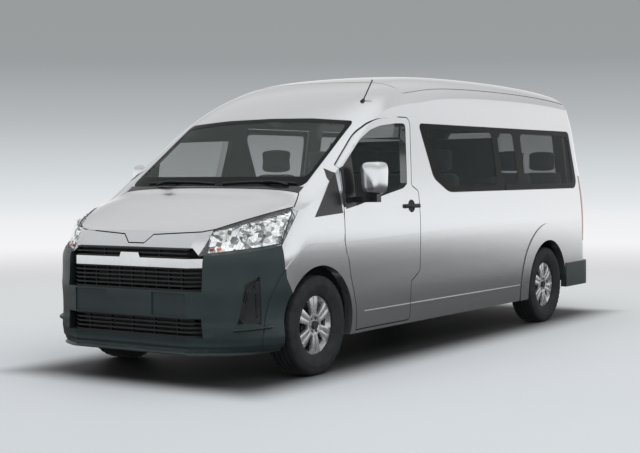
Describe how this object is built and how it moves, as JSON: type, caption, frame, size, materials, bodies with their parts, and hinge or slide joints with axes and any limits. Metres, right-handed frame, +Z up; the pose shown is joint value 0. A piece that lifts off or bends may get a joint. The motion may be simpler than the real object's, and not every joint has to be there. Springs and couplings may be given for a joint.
{
  "type": "minibus",
  "caption": "Long-wheelbase minibus with a short bonnet, windowed passenger body, opening cab doors, bonnet and tailgate, and steered front wheels.",
  "frame": {"origin": "on the ground under the middle of the bounding box", "axes": "+Z up, +Y towards the rear, +X to the vehicle's left"},
  "size_m": [2.37, 5.955, 2.2504],
  "materials": {
    "silver_paint": "metallic gloss",
    "clear_glass": "tinted",
    "black_trim": "fine grain",
    "grey_bumper": "fine grain",
    "lamp_lens": "clear moulded lens",
    "red_lens": "moulded lens",
    "bright_trim": "polished",
    "underbody_steel": "black chassis paint",
    "dark_steel": "dull",
    "engine_metal": "rough cast",
    "tank_plastic": "rough",
    "dash_plastic": "soft grain",
    "seat_fabric": "woven",
    "tyre_rubber": "matt",
    "wheel_alloy": "satin painted"
  },
  "bodies": {
    "body": {"hinge_pins": "dark_steel", "windscreen": "clear_glass", "cowl_panel": "black_trim", "front_wing_left": "silver_paint", "front_wing_right": "silver_paint", "quarter_trims": "black_trim", "cab_upper": "silver_paint", "nose_panel": "silver_paint", "headlamps": "lamp_lens", "lamp_housings": "black_trim", "front_bumper": "grey_bumper", "grilles": "black_trim", "bright_bar": "bright_trim", "roof_panel": "silver_paint", "side_panel_left": "silver_paint", "side_panel_right": "silver_paint", "tail_lamps": "red_lens", "sliding_door": "silver_paint", "side_windows": "clear_glass", "rear_bumper": "grey_bumper", "aerial": "black_trim", "floor_pan": "underbody_steel", "arch_liners": "black_trim", "chassis_frame": "underbody_steel", "engine_block": "engine_metal", "propeller_shaft": "underbody_steel", "fuel_tank": "tank_plastic", "exhaust": "dark_steel", "front_suspension": "underbody_steel", "rear_axle": "underbody_steel", "leaf_springs": "underbody_steel", "cab_seats": "seat_fabric", "row_seats": "seat_fabric", "seat_plinths": "underbody_steel", "dashboard": "dash_plastic", "steering_wheel": "black_trim"},
    "bonnet": {"bonnet_panel": "silver_paint"},
    "door_left": {"door_panel_left": "silver_paint", "door_glass_left": "clear_glass", "mirror_stand_left": "black_trim", "mirror_housing_left": "silver_paint"},
    "door_right": {"door_panel_right": "silver_paint", "door_glass_right": "clear_glass", "mirror_stand_right": "black_trim", "mirror_housing_right": "silver_paint"},
    "tailgate": {"tailgate_panel": "silver_paint", "tailgate_glass": "clear_glass"},
    "knuckle_left": {"knuckle_left": "dark_steel"},
    "knuckle_right": {"knuckle_right": "dark_steel"},
    "wheel_front_left": {"tyre_front_left": "tyre_rubber", "wheel_front_left": "wheel_alloy"},
    "wheel_front_right": {"tyre_front_right": "tyre_rubber", "wheel_front_right": "wheel_alloy"},
    "wheel_rear_left": {"tyre_rear_left": "tyre_rubber", "wheel_rear_left": "wheel_alloy"},
    "wheel_rear_right": {"tyre_rear_right": "tyre_rubber", "wheel_rear_right": "wheel_alloy"}
  },
  "joints": [
    {"name": "steer_left", "type": "hinge", "parent": "body", "child": "knuckle_left", "pos_m": [0.748, -2.0455, 0.352], "axis": [0, 0, 1], "range_deg": [-33, 33]},
    {"name": "steer_right", "type": "hinge", "parent": "body", "child": "knuckle_right", "pos_m": [-0.748, -2.0455, 0.352], "axis": [0, 0, 1], "range_deg": [-33, 33]},
    {"name": "roll_front_left", "type": "hinge", "parent": "knuckle_left", "child": "wheel_front_left", "pos_m": [0.8375, -2.0455, 0.352], "axis": [1, 0, 0], "continuous": true},
    {"name": "roll_front_right", "type": "hinge", "parent": "knuckle_right", "child": "wheel_front_right", "pos_m": [-0.8375, -2.0455, 0.352], "axis": [1, 0, 0], "continuous": true},
    {"name": "roll_rear_left", "type": "hinge", "parent": "body", "child": "wheel_rear_left", "pos_m": [0.835, 1.8145, 0.352], "axis": [1, 0, 0], "continuous": true},
    {"name": "roll_rear_right", "type": "hinge", "parent": "body", "child": "wheel_rear_right", "pos_m": [-0.835, 1.8145, 0.352], "axis": [1, 0, 0], "continuous": true},
    {"name": "door_left_swing", "type": "hinge", "parent": "body", "child": "door_left", "pos_m": [0.96869, -1.7345, 0.95225], "axis": [0.0274, 0, -0.9996], "range_deg": [0, 70]},
    {"name": "door_right_swing", "type": "hinge", "parent": "body", "child": "door_right", "pos_m": [-0.96869, -1.7345, 0.95225], "axis": [0.0274, 0, 0.9996], "range_deg": [0, 70]},
    {"name": "bonnet_lift", "type": "hinge", "parent": "body", "child": "bonnet", "pos_m": [0, -2.0795, 1.30683], "axis": [-1, 0, 0], "range_deg": [0, 50]},
    {"name": "tailgate_lift", "type": "hinge", "parent": "body", "child": "tailgate", "pos_m": [0, 2.68141, 1.994], "axis": [1, 0, 0], "range_deg": [0, 80]}
  ],
  "couplings": [
    {"joint": "steer_right", "follows": "steer_left", "ratio": 1}
  ]
}
